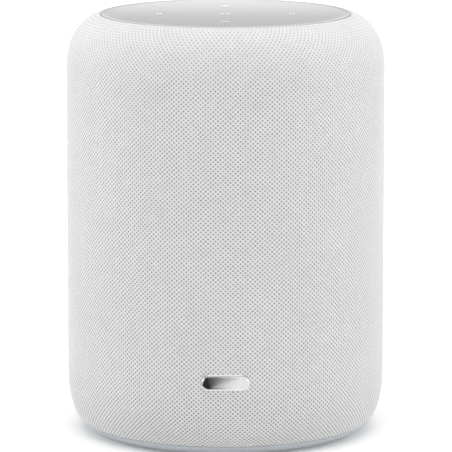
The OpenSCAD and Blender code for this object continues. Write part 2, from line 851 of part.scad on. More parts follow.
// A flat-sided slot with round ends, along Y, grown by g
module usb_outline(g, y_low, y_high) {
    r = usb_size[2] / 2;
    half = usb_size[0] / 2 - r;
    for (side = [-1, 1]) rod_y([usb_x + side * half, y_low, usb_z], r + g, y_high - y_low);
    span([usb_x - half, y_low, usb_z - r - g], [usb_x + half, y_high, usb_z + r + g]);
}

module usb_port() {
    color("#b9bcc0") {
        difference() {
            usb_outline(0, recess_y - usb_size[1], recess_y);
            usb_outline(-0.35, recess_y - usb_size[1] + 1, recess_y + 1);
        }
        span([usb_x - 3.2, recess_y - usb_size[1], usb_z - 0.35], [usb_x + 3.2, recess_y - 1, usb_z + 0.35]);
    }
}

stem_l = 1;
plunger_y = collar_y - collar_t - stem_l - button_travel - free_gap;
module button_switch() {
    color("#222426")
        span([button_x - 3, plunger_y - 5, board_top_z], [button_x + 3, plunger_y, recess_z + 3]);
}

module setup_button() {
    color("#5a5d60") {
        rod_y([button_x, collar_y - collar_t - stem_l, recess_z], 1.2, stem_l + collar_t);
        rod_y([button_x, collar_y - collar_t, recess_z], button_collar_r, collar_t);
        rod_y([button_x, collar_y - collar_t, recess_z], button_r, recess_y + 0.4 - collar_y + collar_t);
    }
}

module switch_body() {
    color("#222426")
        span([switch_x - switch_half_w, collar_y - collar_t - free_gap - 6, board_top_z],
             [switch_x + switch_half_w, collar_y - collar_t - free_gap, recess_z + 6]);
}

module microphone_switch() {
    z = slider_rest_z;
    color("#d0d2d4") {
        span([switch_x - 2.6, collar_y - collar_t, z - 4], [switch_x + 2.6, collar_y, z + 4]);
        span([switch_x - slider_half[0], collar_y - collar_t, z - slider_half[1]],
             [switch_x + slider_half[0], recess_y + 1, z + slider_half[1]]);
    }
}

module lead_grommet() {
    color("#101010") translate([lead_x, lead_y, enclosure_low]) difference() {
        union() {
            translate([0, 0, -1.5]) cylinder(r = grommet_r + 1.5, h = 1.5);
            translate([0, 0, -1]) cylinder(r = grommet_r, h = wall + 2);
            translate([0, 0, wall]) cylinder(r = grommet_r + 1.5, h = 1.5);
        }
        for (side = [-1, 1])
            translate([side * lead_pitch / 2, 0, -5]) cylinder(r = lead_r + fit, h = 15, $fn = 24);
    }
}

module speaker_leads() {
    z0 = enclosure_low - 7;
    z1 = woofer_z - 24;
    color("#a03030") for (side = [-1, 1]) {
        x = lead_x + side * lead_pitch / 2;
        wire([[x, amp_y, z0], [x, lead_y, z0], [x, lead_y, z1]], lead_r);
    }
}

foot_ring();
base_plate();
base_screws();
lower_chassis();
grille_frame();
fabric_sleeve();
badge();
top_panel();
touch_icons();
top_chassis();
light_guides();
touch_board();
microphones();
main_board();
shield_can();
antennas();
ribbon_cable();
front_baffle();
rear_enclosure();
enclosure_gasket();
enclosure_screws();
wadding();
woofer_basket();
woofer_top_plate();
woofer_magnet();
woofer_yoke();
voice_coil();
woofer_cone();
dust_cap();
woofer_surround();
woofer_spider();
driver_screws();
tweeter_faceplate();
tweeter_magnet();
tweeter_dome();
power_board();
transformer();
capacitors();
amplifier_board();
heat_sink();
connector_panel();
mains_inlet();
inlet_pins();
mains_leads();
connector_board();
audio_jack();
usb_port();
button_switch();
setup_button();
switch_body();
microphone_switch();
lead_grommet();
speaker_leads();
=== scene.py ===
"""The looks of the smart speaker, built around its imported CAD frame.

Metres, +Z up, the front faces -Y.
"""

import json
import math

import bpy
import numpy as np
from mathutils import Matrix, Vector


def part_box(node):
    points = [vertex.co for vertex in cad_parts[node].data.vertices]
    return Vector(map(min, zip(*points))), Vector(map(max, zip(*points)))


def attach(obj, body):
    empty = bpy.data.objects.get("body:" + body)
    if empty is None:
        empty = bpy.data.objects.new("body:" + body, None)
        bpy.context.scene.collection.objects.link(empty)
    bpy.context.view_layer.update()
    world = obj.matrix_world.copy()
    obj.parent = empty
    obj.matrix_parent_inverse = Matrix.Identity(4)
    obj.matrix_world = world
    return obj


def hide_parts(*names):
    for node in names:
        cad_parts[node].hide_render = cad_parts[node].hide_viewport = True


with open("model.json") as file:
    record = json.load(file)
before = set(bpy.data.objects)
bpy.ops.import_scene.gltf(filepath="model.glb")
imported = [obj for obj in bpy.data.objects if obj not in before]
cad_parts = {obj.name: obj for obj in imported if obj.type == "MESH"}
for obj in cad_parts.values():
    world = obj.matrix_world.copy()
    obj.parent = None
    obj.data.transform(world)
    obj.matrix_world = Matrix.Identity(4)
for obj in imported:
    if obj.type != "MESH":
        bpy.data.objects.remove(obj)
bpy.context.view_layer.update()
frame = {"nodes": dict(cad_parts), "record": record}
MM = 0.001
TAU = 2 * math.pi

# ---------------------------------------------------------------- sizes, from the frame's own boxes
sleeve_low, sleeve_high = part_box("fabric_sleeve")
_, foot_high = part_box("foot_ring")
panel_low, panel_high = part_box("top_panel")
badge_low, badge_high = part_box("badge")
recess_low, recess_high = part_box("connector_panel")
BODY_R = (sleeve_high[0] - sleeve_low[0]) / 2
BODY_H = panel_high[2]
FOOT_RING_H = foot_high[2]
PANEL_R = panel_high[0]
BADGE_Z = (badge_low[2] + badge_high[2]) / 2
RECESS_Z = (recess_low[2] + recess_high[2]) / 2

# The outline's two superelliptic corners, as the CAD model has them: width, height, squareness
SHOULDER_W, SHOULDER_H, SHOULDER_N = 23.3 * MM, 27.4 * MM, 2.5
FOOT_W, FOOT_H, FOOT_N = 18.7 * MM, 30.2 * MM, 2.66
RIM_R = BODY_R - 15.7 * MM      # where the fabric meets the touch panel
TUCK = 2 * MM                   # depth of the fabric's edge beside the panel
PANEL_DISH = 0.4 * MM
PANEL_EDGE = 3 * MM             # width of the panel's outer part, which is made with its bevel
PANEL_BEVEL = 0.25 * MM
FOOT_RING_INNER = 46 * MM
RECESS_GAP = 0.3 * MM           # between the fabric and the connector recess
RECESS_ROUND = 5.3 * MM         # corner radius of the opening in the fabric

# The knit: dark openings in a staggered lattice
WEAVE_COUNT = 208               # openings in one row round the body
WEAVE_PITCH = 2.03 * MM         # from one row of openings to the next but one
STEPS = 4                       # mesh cells in one pitch
PIT_DEPTH = 0.28 * MM
PIT_SHARPNESS = 1.5
LOOP_RISE = 0.04 * MM
SHOULDER_LOOPS, SHOULDER_BEND = 1.6, 1.4    # how much the loops lengthen towards the panel
FOOT_LOOPS = 0.13                           # how much they shorten towards the foot ring
HEM_FADE, TUCK_FADE = 1.5 * MM, 2.6 * MM    # lengths at the two ends in which the knit goes flat
# Openings close up from this share of the sleeve's rows, down to this share of their depth
FADE_START, FADE_END = 0.86, 0.42
OPENING_EDGE = 0.30, 0.84       # levels of the lattice where an opening's dark begins and is full
OPENING_TONE = (0.19, 0.19, 0.193)
# Painted shade: the openings' dark widens by this much at the foot, and less and less between these
# shares of the rows
FOOT_SHADE_WIDENING, FOOT_SHADE_ZONE = 0.16, (0.01, 0.17)
OUTLINE_SAMPLES = 8001

# Light, and the camera fitted to the photograph
WORLD_STRENGTH = 0.45
SOFTBOXES = [  # name, place, target, size, power in watts, whether it shows in reflections
    ("softbox_top", (0, 0, 2.4), (0, 0, 0), (2.6, 2.6), 33, True),
    ("softbox_front", (0, -0.62, 0.82), (0, -0.05, 0.1), (0.7, 0.4), 1.8, True),
    ("softbox_left", (-1.55, 0.42, 0.55), (0, 0, 0.1), (0.9, 1.2), 9.5, False),
    ("softbox_right", (1.55, 0.42, 0.55), (0, 0, 0.1), (0.9, 1.2), 9.1, False),
    ("strip_back", (0, 2.0, 0.56), (0, 0, 0.19), (2.4, 0.24), 1.5, True),
]
CAMERA_DISTANCE, CAMERA_PITCH, CAMERA_AIM_Z = 1.697, math.radians(9.93), 0.094
CAMERA_LENS, CAMERA_SENSOR, CAMERA_SHIFT = 292.6, 36, 0.001
FLOOR_HALF = 12.0
FLOOR_GLOW = 0.25, 1.6, 0.13, 0.45          # two distances from the middle, and the glow at each
CARD = -0.2, 0.2, -0.6, -0.13               # its left, right, near and far edges
CARD_FALL = -0.075, 0.05                    # directions between which it goes from dark to light


# ---------------------------------------------------------------- mesh helpers
def mesh_object(name, verts, faces, smooth=True):
    """A new object from points and faces, shown in the scene."""
    mesh = bpy.data.meshes.new(name)
    mesh.from_pydata(verts, [], faces)
    mesh.update()
    mesh.polygons.foreach_set("use_smooth", [smooth] * len(mesh.polygons))
    obj = bpy.data.objects.new(name, mesh)
    bpy.context.scene.collection.objects.link(obj)
    return obj


def lathe(name, profile, segments=256):
    """A body of revolution about Z from (radius, height) points; radius 0 closes to a point."""
    verts, rings = [], []
    for r, z in profile:
        if r < 1e-7:
            rings.append([len(verts)] * segments)
            verts.append((0.0, 0.0, z))
            continue
        rings.append(list(range(len(verts), len(verts) + segments)))
        for k in range(segments):
            a = TAU * k / segments
            verts.append((r * math.cos(a), r * math.sin(a), z))
    faces = []
    for low, high in zip(rings, rings[1:]):
        for k in range(segments):
            n = (k + 1) % segments
            face = list(dict.fromkeys((low[k], low[n], high[n], high[k])))
            if len(face) > 2:
                faces.append(face)
    return mesh_object(name, verts, faces)


def round_corner(p, q, t, radius, steps=5):
    """Points on the arc that rounds corner q of the path p, q, t, as (radius, height)."""
    p, q, t = (np.array(x, float) for x in (p, q, t))
    a, b = (p - q) / np.linalg.norm(p - q), (t - q) / np.linalg.norm(t - q)
    half = math.acos(max(-1.0, min(1.0, float(a @ b)))) / 2
    along = radius / math.tan(half)
    centre = q + (a + b) / np.linalg.norm(a + b) * radius / math.sin(half)
    start, end = q + a * along - centre, q + b * along - centre
    turn = math.atan2(start[0] * end[1] - start[1] * end[0], float(start @ end))
    points = []
    for i in range(steps + 1):
        c, s = math.cos(turn * i / steps), math.sin(turn * i / steps)
        points.append(tuple(centre + (start[0] * c - start[1] * s, start[0] * s + start[1] * c)))
    return points


def rounded_path(corners):
    """An open path through (radius, height, rounding) corners; its ends aren't rounded."""
    points = []
    for i, (r, z, rounding) in enumerate(corners):
        if rounding == 0:
            points.append((r, z))
        else:
            points += round_corner(corners[i - 1][:2], (r, z), corners[i + 1][:2], rounding)
    return points


def round_edges(obj, width):
    """Rounds a CAD node's sharp edges with a modifier; its own mesh isn't changed."""
    bevel = obj.modifiers.new("edge_round", "BEVEL")
    bevel.width = width
    bevel.segments = 3
    bevel.limit_method = "ANGLE"
    bevel.angle_limit = math.radians(35)


# ---------------------------------------------------------------- node helpers
def new_material(name, **values):
    """A material with a Principled shader, whose sockets take the values given."""
    material = bpy.data.materials.new(name)
    material.use_nodes = True
    shader = material.node_tree.nodes["Principled BSDF"]
    for key, value in values.items():
        shader.inputs[key.replace("_", " ").title().replace("Ior", "IOR")].default_value = value
    return material, material.node_tree, shader


def add(tree, kind, settings=None, **inputs):
    """A node of that kind. Each input is a value, or a socket that is linked to it."""
    node = tree.nodes.new("ShaderNode" + kind)
    for key, value in (settings or {}).items():
        setattr(node, key, value)
    for key, value in inputs.items():
        numbered = key[0] == "i" and key[1:].isdigit()
        socket = node.inputs[int(key[1:]) if numbered else key.replace("_", " ")]
        if isinstance(value, bpy.types.NodeSocket):
            tree.links.new(value, socket)
        else:
            socket.default_value = value
    return node


def math_node(tree, operation, a, b=None):
    """The result of a Math node; a and b are values or sockets."""
    second = {} if b is None else {"i1": b}
    return add(tree, "Math", {"operation": operation}, i0=a, **second).outputs[0]


def blend_colour(tree, factor, low, high):
    """A colour between low and high, which are three numbers each."""
    node = add(tree, "Mix", {"data_type": "RGBA"}, i0=factor, i6=(*low, 1), i7=(*high, 1))
    return node.outputs[2]


def multiply_colours(tree, a, b):
    """The product of two colours' sockets."""
    node = add(tree, "Mix", {"data_type": "RGBA", "blend_type": "MULTIPLY"}, i0=1.0, i6=a, i7=b)
    return node.outputs[2]


def place(tree):
    """Object coordinates, in metres."""
    return add(tree, "TexCoord").outputs["Object"]


def noise(tree, scale, detail=3.0, vector=None):
    """Noise of that many cells in a metre."""
    node = add(tree, "TexNoise", Vector=vector or place(tree), Scale=scale, Detail=detail)
    return node.outputs["Fac"]


def spread(tree, value, low, high, to_low=0.0, to_high=1.0, smooth=False):
    """The value's range from low to high laid onto another range, and held at its ends."""
    node = add(tree, "MapRange", {"interpolation_type": "SMOOTHSTEP" if smooth else "LINEAR"},
               i0=value, i1=low, i2=high, i3=to_low, i4=to_high)
    return node.outputs[0]


def bump(tree, shader, height, strength, distance):
    """Gives the shader a bumped normal."""
    node = add(tree, "Bump", Height=height, Strength=strength, Distance=distance)
    tree.links.new(node.outputs[0], shader.inputs["Normal"])


# ---------------------------------------------------------------- materials
def fabric_material(count, rows):
    """Light grey knit: yarn round darker openings, as the mesh has them."""
    m, t, s = new_material("knit_fabric", roughness=0.85, sheen_weight=0.25,
                           sheen_roughness=0.45, specular_ior_level=0.25)
    uv = add(t, "SeparateXYZ", Vector=add(t, "UVMap", {"uv_map": "weave"}).outputs[0])
    across = math_node(t, "COSINE", math_node(t, "MULTIPLY", uv.outputs[0], TAU * count))
    along = math_node(t, "COSINE", math_node(t, "MULTIPLY", uv.outputs[1], TAU * rows))
    lattice = math_node(t, "MULTIPLY", across, along)
    wobble = spread(t, noise(t, 900.0, 2.0), 0.3, 0.7, -0.12, 0.12)
    # painted shade: the openings' dark grows wider towards the foot ring, where the fabric turns
    # under
    foot_shade = spread(t, uv.outputs[1], *FOOT_SHADE_ZONE, FOOT_SHADE_WIDENING, 0.0)
    level = math_node(t, "ADD", math_node(t, "ADD", lattice, wobble), foot_shade)
    closing = spread(t, uv.outputs[1], FADE_START, 1.0, 1.0, FADE_END)
    opening = math_node(t, "MULTIPLY", spread(t, level, *OPENING_EDGE, smooth=True), closing)
    yarn = blend_colour(t, noise(t, 260.0, 4.0), (0.69, 0.69, 0.69), (0.81, 0.81, 0.81))
    patches = spread(t, noise(t, 22.0, 2.0), 0.35, 0.7)
    worn = blend_colour(t, patches, (0.97, 0.97, 0.97), (1, 1, 1))
    pits = blend_colour(t, opening, (1, 1, 1), OPENING_TONE)
    colour = multiply_colours(t, multiply_colours(t, yarn, worn), pits)
    t.links.new(colour, s.inputs["Base Color"])
    bump(t, s, noise(t, 2600.0, 3.0), 0.35, 0.15 * MM)
    return m


def moulded(name, low, high, grain=1800.0, depth=0.04, rough=(0.42, 0.55), **values):
    """Moulded plastic or rubber: a fine grain, depth mm deep, a cloudy tone and uneven gloss."""
    m, t, s = new_material(name, **values)
    cloud = noise(t, 45.0, 3.0)
    t.links.new(blend_colour(t, cloud, low, high), s.inputs["Base Color"])
    t.links.new(spread(t, noise(t, 160.0, 2.0), 0.3, 0.7, *rough), s.inputs["Roughness"])
    bump(t, s, noise(t, grain, 2.0), 0.3, depth * MM)
    return m


def metal(name, low, high, rough, stretch=(1, 1, 30), scale=220.0, **values):
    """Metal with a drawn or turned grain along one axis."""
    m, t, s = new_material(name, metallic=1.0, **values)
    drawn = add(t, "Mapping", {"vector_type": "POINT"}, Vector=place(t), Scale=stretch).outputs[0]
    grain = noise(t, scale, 3.0, drawn)
    t.links.new(blend_colour(t, grain, low, high), s.inputs["Base Color"])
    t.links.new(spread(t, grain, 0.3, 0.7, *rough), s.inputs["Roughness"])
    return m


def board_material(name, ground):
    """Solder mask over copper tracks, which show as slightly raised and lighter lines."""
    m, t, s = new_material(name, coat_weight=0.4, coat_roughness=0.15)
    cells = add(t, "TexVoronoi", {"distance": "MANHATTAN", "feature": "DISTANCE_TO_EDGE"},
                Vector=place(t), Scale=180.0).outputs[0]
    track = spread(t, cells, 0.03, 0.06, 1.0, 0.0)
    light = tuple(min(1.0, 1.9 * c + 0.02) for c in ground)
    t.links.new(blend_colour(t, track, ground, light), s.inputs["Base Color"])
    t.links.new(spread(t, noise(t, 90.0), 0.3, 0.7, 0.3, 0.45), s.inputs["Roughness"])
    bump(t, s, track, 0.5, 0.05 * MM)
    return m


def cloth_material(name, low, high, pitch):
    """Plain woven cloth at a real thread pitch."""
    m, t, s = new_material(name, roughness=0.9, sheen_weight=0.2)
    where = add(t, "SeparateXYZ", Vector=place(t))
    waves = [math_node(t, "SINE", math_node(t, "MULTIPLY", where.outputs[i], TAU / pitch))
             for i in range(3)]
    weave = math_node(t, "MULTIPLY", math_node(t, "ADD", waves[0], waves[1]), waves[2])
    t.links.new(blend_colour(t, spread(t, weave, -1.2, 1.2), low, high), s.inputs["Base Color"])
    bump(t, s, math_node(t, "ADD", weave, noise(t, 900.0)), 0.5, 0.1 * MM)
    return m


def make_materials():
    """One procedural material for each slot of the record."""
    made = [
        moulded("rubber_grey", (0.50, 0.53, 0.56), (0.55, 0.58, 0.61), 2600.0, 0.03, (0.5, 0.62),
                specular_ior_level=0.4),
        moulded("plastic_dark", (0.030, 0.031, 0.033), (0.040, 0.041, 0.044)),
        moulded("plastic_grey", (0.42, 0.43, 0.44), (0.47, 0.48, 0.49), 1300.0, 0.09),
        moulded("panel_grey", (0.43, 0.435, 0.44), (0.45, 0.455, 0.46), 700.0, 0.0008,
                (0.38, 0.44), coat_weight=1.0, coat_roughness=0.09, specular_ior_level=0.3),
        moulded("icon_white", (0.86, 0.87, 0.88), (0.90, 0.905, 0.91), 1500.0, 0.01, (0.2, 0.3)),
        metal("chrome_bright", (0.78, 0.78, 0.79), (0.86, 0.86, 0.87), (0.04, 0.10),
              (1, 1, 1), 500.0),
        metal("steel", (0.52, 0.53, 0.54), (0.66, 0.67, 0.68), (0.22, 0.38)),
        metal("aluminium", (0.70, 0.71, 0.72), (0.80, 0.81, 0.82), (0.3, 0.45)),
        metal("copper", (0.60, 0.30, 0.14), (0.80, 0.46, 0.24), (0.25, 0.4), (30, 1, 1)),
        moulded("ferrite", (0.020, 0.020, 0.021), (0.045, 0.044, 0.044), 900.0, 0.15,
                (0.55, 0.75)),
        board_material("board_green", (0.010, 0.075, 0.032)),
        moulded("rubber_black", (0.012, 0.012, 0.012), (0.022, 0.022, 0.022), 1500.0, 0.06,
                (0.6, 0.75)),
        moulded("paper_black", (0.014, 0.014, 0.015), (0.030, 0.030, 0.031), 700.0, 0.2,
                (0.7, 0.85)),
        cloth_material("cloth_amber", (0.30, 0.17, 0.05), (0.52, 0.33, 0.12), 0.8 * MM),
        cloth_material("wadding_white", (0.62, 0.60, 0.56), (0.82, 0.80, 0.77), 2.4 * MM),
        cloth_material("silk_grey", (0.16, 0.165, 0.17), (0.26, 0.265, 0.27), 0.3 * MM),
        moulded("wire_red", (0.26, 0.02, 0.02), (0.36, 0.03, 0.03), 1200.0, 0.04, (0.35, 0.45)),
        moulded("wire_brown", (0.10, 0.045, 0.02), (0.15, 0.07, 0.03), 1200.0, 0.04,
                (0.35, 0.45)),
        moulded("film_white", (0.66, 0.66, 0.63), (0.76, 0.76, 0.73), 900.0, 0.03, (0.3, 0.4)),
    ]
    # the frame's own materials have these names too, so Blender adds a number after a dot
    return {material.name.split(".")[0]: material for material in made}


# ---------------------------------------------------------------- the fabric sleeve
def corner_points(width, height, exponent, low, high, steps):
    """Points of a superelliptic corner between two angles."""
    points = []
    for i in range(steps + 1):
        a = low + (high - low) * i / steps
        points.append((width * max(0.0, math.cos(a)) ** (2 / exponent),
                       height * max(0.0, math.sin(a)) ** (2 / exponent)))
    return points


def foot_outline(z_low, steps=160):
    """The outline's lower corner, from height z_low to the straight side."""
    last = math.asin(((FOOT_H - z_low) / FOOT_H) ** (FOOT_N / 2))
    curve = corner_points(FOOT_W, FOOT_H, FOOT_N, last, 0, steps)
    return [(BODY_R - FOOT_W + x, FOOT_H - y) for x, y in curve]


def shoulder_outline(r_end, steps=160):
    """The outline's upper corner, from the straight side in to radius r_end."""
    centre = BODY_R - SHOULDER_W
    share = (RIM_R - centre) / SHOULDER_W
    base = BODY_H - SHOULDER_H * (1 - share ** SHOULDER_N) ** (1 / SHOULDER_N)
    last = math.acos(((r_end - centre) / SHOULDER_W) ** (SHOULDER_N / 2))
    curve = corner_points(SHOULDER_W, SHOULDER_H, SHOULDER_N, 0, last, steps)
    return [(centre + x, base + y) for x, y in curve]


def sleeve_profile():
    """Points of the sleeve's outline, one for each row of mesh points.

    Their arc lengths and the count of pitches come with them. The lower hem turns in and the upper
    edge tucks in beside the panel. Towards the panel the knit narrows and its loops lengthen;
    towards the foot they shorten.
    """
    foot = foot_outline(FOOT_RING_H + 0.35 * MM)
    low_r = foot[0][0]
    hem = [(low_r - 1.1 * MM, FOOT_RING_H + 0.02 * MM),
           (low_r - 0.4 * MM, FOOT_RING_H + 0.03 * MM)]
    rim = [(RIM_R + 0.05 * MM, BODY_H - 0.05 * MM), (RIM_R - 0.24 * MM, BODY_H - 0.15 * MM),
           (RIM_R - 0.28 * MM, BODY_H - TUCK)]
    corners = np.array(hem + foot + shoulder_outline(RIM_R + 0.6 * MM) + rim)
    s = np.concatenate([[0], np.cumsum(np.linalg.norm(np.diff(corners, axis=0), axis=1))])
    fine = np.linspace(0, s[-1], OUTLINE_SAMPLES)
    r, z = (np.interp(fine, s, corners[:, k]) for k in range(2))
    inward = BODY_R - r
    upper = 1 + SHOULDER_LOOPS * np.clip(inward / (BODY_R - RIM_R), 0, 1) ** SHOULDER_BEND
    lower = 1 - FOOT_LOOPS * np.clip(inward / (BODY_R - low_r), 0, 1)
    stretch = np.where(z > BODY_H / 2, upper, lower)
    loops = np.concatenate([[0], np.cumsum(np.diff(fine) / stretch[1:])]) / WEAVE_PITCH
    rows = int(round(loops[-1] * STEPS)) + 1
    at = np.interp(np.linspace(0, loops[-1], rows), loops, fine)
    return np.stack([np.interp(at, fine, r), np.interp(at, fine, z)], axis=1), at, loops[-1]


def sleeve_grid():
    """The sleeve's points, normals and weave coordinates, as arrays over rows and columns."""
    profile, arc, pitches = sleeve_profile()
    rows, columns = len(profile), WEAVE_COUNT * STEPS
    tangent = np.gradient(profile, axis=0)
    tangent /= np.linalg.norm(tangent, axis=1, keepdims=True)
    outward = np.stack([tangent[:, 1], -tangent[:, 0]], axis=1)
    v = np.linspace(0, 1, rows)[:, None]
    u = (np.arange(columns + 1) / columns)[None, :]
    lattice = np.cos(TAU * WEAVE_COUNT * u) * np.cos(TAU * pitches * v)
    pits = PIT_DEPTH * np.clip(lattice, 0, 1) ** PIT_SHARPNESS
    drop = -pits - LOOP_RISE * np.clip(1 + lattice, 0, 1)
    fade = np.clip(arc / HEM_FADE, 0, 1) * np.clip((arc[-1] - arc) / TUCK_FADE, 0, 1)
    drop = drop * fade[:, None] * np.interp(v, [FADE_START, 1], [1, FADE_END])
    radius = profile[:, :1] + outward[:, :1] * drop
    height = profile[:, 1:] + outward[:, 1:] * drop
    angle = TAU * u - TAU / 8       # from the front; column 0 lies an eighth of a turn before it
    points = np.stack([radius * np.sin(angle), -radius * np.cos(angle), height], axis=2)
    # slopes by central differences, which wrap round at the last column
    along = np.gradient(points, axis=0)
    around = np.empty_like(points)
    around[:, 1:-1] = points[:, 2:] - points[:, :-2]
    around[:, 0] = around[:, -1] = points[:, 1] - points[:, -2]
    normal = np.cross(around, along)
    normal /= np.linalg.norm(normal, axis=2, keepdims=True)
    u, v = (np.broadcast_to(a, radius.shape) for a in (u, v))
    return points, normal, u, v, arc[-1], pitches


def recess_distance(x, z):
    """Distance from the recess's rounded outline, negative inside, and the outward direction."""
    half_w = recess_high[0] + RECESS_GAP - RECESS_ROUND
    half_h = (recess_high[2] - recess_low[2]) / 2 + RECESS_GAP - RECESS_ROUND
    dx, dz = np.abs(x) - half_w, np.abs(z - RECESS_Z) - half_h
    corner = (dx > 0) & (dz > 0)
    reach = np.hypot(np.maximum(dx, 0), np.maximum(dz, 0)) + 1e-12
    distance = np.where(corner, reach, np.maximum(dx, dz)) - RECESS_ROUND
    out_x = np.where(corner, dx / reach, dx >= dz) * np.sign(x)
    out_z = np.where(corner, dz / reach, dx < dz) * np.sign(z - RECESS_Z)
    return distance, out_x, out_z


def open_recess(points):
    """Which cells lie over the connector recess. Points beside them move onto its outline."""
    x, y, z = points[..., 0], points[..., 1], points[..., 2]
    distance, out_x, out_z = recess_distance(x, z)
    corners = [distance[:-1, :-1], distance[1:, :-1], distance[:-1, 1:], distance[1:, 1:]]
    hole = (sum(corners) < 0) & (y[:-1, :-1] > 0)
    touched = np.zeros(x.shape, bool)
    kept = np.zeros(x.shape, bool)
    for i, j in ((0, 0), (0, 1), (1, 0), (1, 1)):
        window = np.s_[i:i + hole.shape[0], j:j + hole.shape[1]]
        touched[window] |= hole
        kept[window] |= ~hole
    edge = touched & kept
    radius = np.hypot(x, y)[edge]
    x[edge] -= (distance * out_x)[edge]
    z[edge] -= (distance * out_z)[edge]
    y[edge] = np.sqrt(radius ** 2 - x[edge] ** 2)
    return hole


def sleeve_panel(name, grid, hole, first, last, material):
    """One upright panel of the sleeve, between two columns."""
    points, normal, u, v = (a[:, first:last + 1] for a in grid)
    rows, columns = points.shape[:2]
    index = np.arange(rows * columns).reshape(rows, columns)
    quads = np.stack([index[:-1, :-1], index[:-1, 1:], index[1:, 1:], index[1:, :-1]], axis=2)
    quads = quads[~hole[:, first:last]]
    used, quads = np.unique(quads, return_inverse=True)
    quads = quads.reshape(-1, 4)
    mesh = bpy.data.meshes.new(name)
    mesh.vertices.add(len(used))
    mesh.vertices.foreach_set("co", points.reshape(-1, 3)[used].astype(np.float32).ravel())
    mesh.loops.add(quads.size)
    mesh.loops.foreach_set("vertex_index", quads.astype(np.int32).ravel())
    mesh.polygons.add(len(quads))
    mesh.polygons.foreach_set("loop_start", np.arange(0, quads.size, 4, dtype=np.int32))
    mesh.polygons.foreach_set("loop_total", np.full(len(quads), 4, np.int32))
    mesh.update(calc_edges=True)
    weave = mesh.uv_layers.new(name="weave")
    place_uv = np.stack([u.reshape(-1)[used], v.reshape(-1)[used]], axis=1)[quads.ravel()]
    weave.data.foreach_set("uv", place_uv.astype(np.float32).ravel())
    mesh.polygons.foreach_set("use_smooth", np.ones(len(quads), bool))
    mesh.normals_split_custom_set_from_vertices([tuple(n) for n in normal.reshape(-1, 3)[used]])
    obj = bpy.data.objects.new(name, mesh)
    bpy.context.scene.collection.objects.link(obj)
    mesh.materials.append(material)
    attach(obj, "housing")
    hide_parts("fabric_sleeve")


*grid, sleeve_length, pitches = sleeve_grid()
hole = open_recess(grid[0])
fabric = fabric_material(WEAVE_COUNT, pitches)
quarter = WEAVE_COUNT * STEPS // 4
for number, side in enumerate(("front", "right", "back", "left")):
    first = number * quarter
    sleeve_panel("fabric_" + side, grid, hole, first, first + quarter, fabric)

materials = make_materials()


def finished(obj, slot, *nodes):
    """Gives a new piece its material, attaches it to the housing and hides the CAD nodes it stands
    for.
    """
    obj.data.materials.append(materials[slot])
    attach(obj, "housing")
    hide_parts(*nodes)


# ---------------------------------------------------------------- the touch panel and its symbols
def dish(r):
    """Height of the panel's top at radius r."""
    return BODY_H - PANEL_DISH * (1 - min(1.0, r / (PANEL_R - 0.5 * MM)) ** 2)


def make_panel():
    """The dished disc with a rounded bevel."""
    flat_r, rings = PANEL_R - PANEL_EDGE, 24
    top = [(flat_r * i / rings, dish(flat_r * i / rings)) for i in range(rings)]
    rim = rounded_path([(flat_r, dish(flat_r), 0), (PANEL_R - PANEL_BEVEL, BODY_H, 0.3 * MM),
                        (PANEL_R, BODY_H - PANEL_BEVEL, 0.12 * MM),
                        (PANEL_R, panel_low[2], 0.2 * MM), (0, panel_low[2], 0)])
    finished(lathe("touch_panel", top + rim), "panel_grey", "top_panel")


make_panel()


# ---------------------------------------------------------------- the foot ring
def make_foot():
    """The rubber ring that shows under the fabric, with its edges rounded over."""
    outer = foot_outline(0.9 * MM, 60)
    outer = [p for p in outer if p[1] <= FOOT_RING_H - 0.25 * MM]
    under = rounded_path([(FOOT_RING_INNER, FOOT_RING_H, 0), (FOOT_RING_INNER, 0, 0.5 * MM),
                          (BODY_R - FOOT_W, 0, 0), (*outer[0], 0)])
    top_r = outer[-1][0]
    top = [(top_r + 0.02 * MM, FOOT_RING_H - 0.1 * MM), (top_r - 0.25 * MM, FOOT_RING_H),
           (FOOT_RING_INNER, FOOT_RING_H)]
    finished(lathe("foot_band", under + outer + top), "rubber_grey", "foot_ring")


make_foot()


# ---------------------------------------------------------------- the blank nameplate
def make_nameplate():
    """A blank capsule of polished metal, wrapped round the front and crowned in its middle."""
    half_w, half_h = badge_high[0], (badge_high[2] - badge_low[2]) / 2
    proud = -badge_low[1] - BODY_R
    around, rows, edge_w, crown, easing = 96, 6, 0.9 * MM, 0.10 * MM, 0.06
    # how far in each ring lies, and how far out of the fabric, as shares of edge_w and proud
    rings = [(0.0, -0.5), (0.0, 0.45), (0.10, 0.72), (0.28, 0.88), (0.55, 0.96), (1.0, 1.0)]
    verts, faces = [], []
    for inset, lift in rings:
        r = half_h - inset * edge_w
        for k in range(around):
            a = TAU * k / around
            x = math.copysign(half_w - half_h, math.cos(a)) + r * math.cos(a)
            z = BADGE_Z + r * math.sin(a)
            out = BODY_R + proud * lift * (1 - easing * abs(lift))
            verts.append((out * math.sin(x / BODY_R), -out * math.cos(x / BODY_R), z))
    for ring in range(len(rings) - 1):
        for k in range(around):
            n = (k + 1) % around
            a, b = ring * around, (ring + 1) * around
            faces.append((a + k, a + n, b + n, b + k))
    # the flat front is filled by strips from the lower half of the last ring to its upper half
    last = (len(rings) - 1) * around
    columns = []
    for k in range(around // 2 + 1):
        top, low = last + k, last + (around - k) % around
        if top == low:
            columns.append([top] * (rows + 1))
            continue
        column = [low]
        a, b = np.array(verts[low]), np.array(verts[top])
        for i in range(1, rows):
            p = a + (b - a) * i / rows
            swell = crown * (1 - (2 * i / rows - 1) ** 2)
            flat = np.array([p[0], p[1], 0]) / np.hypot(p[0], p[1])
            column.append(len(verts))
            verts.append(tuple(p + flat * swell))
        columns.append(column + [top])
    for one, two in zip(columns, columns[1:]):
        for i in range(rows):
            face = list(dict.fromkeys((one[i], two[i], two[i + 1], one[i + 1])))
            if len(face) > 2:
                faces.append(face[::-1])
    finished(mesh_object("nameplate", verts, faces), "chrome_bright", "badge")


make_nameplate()

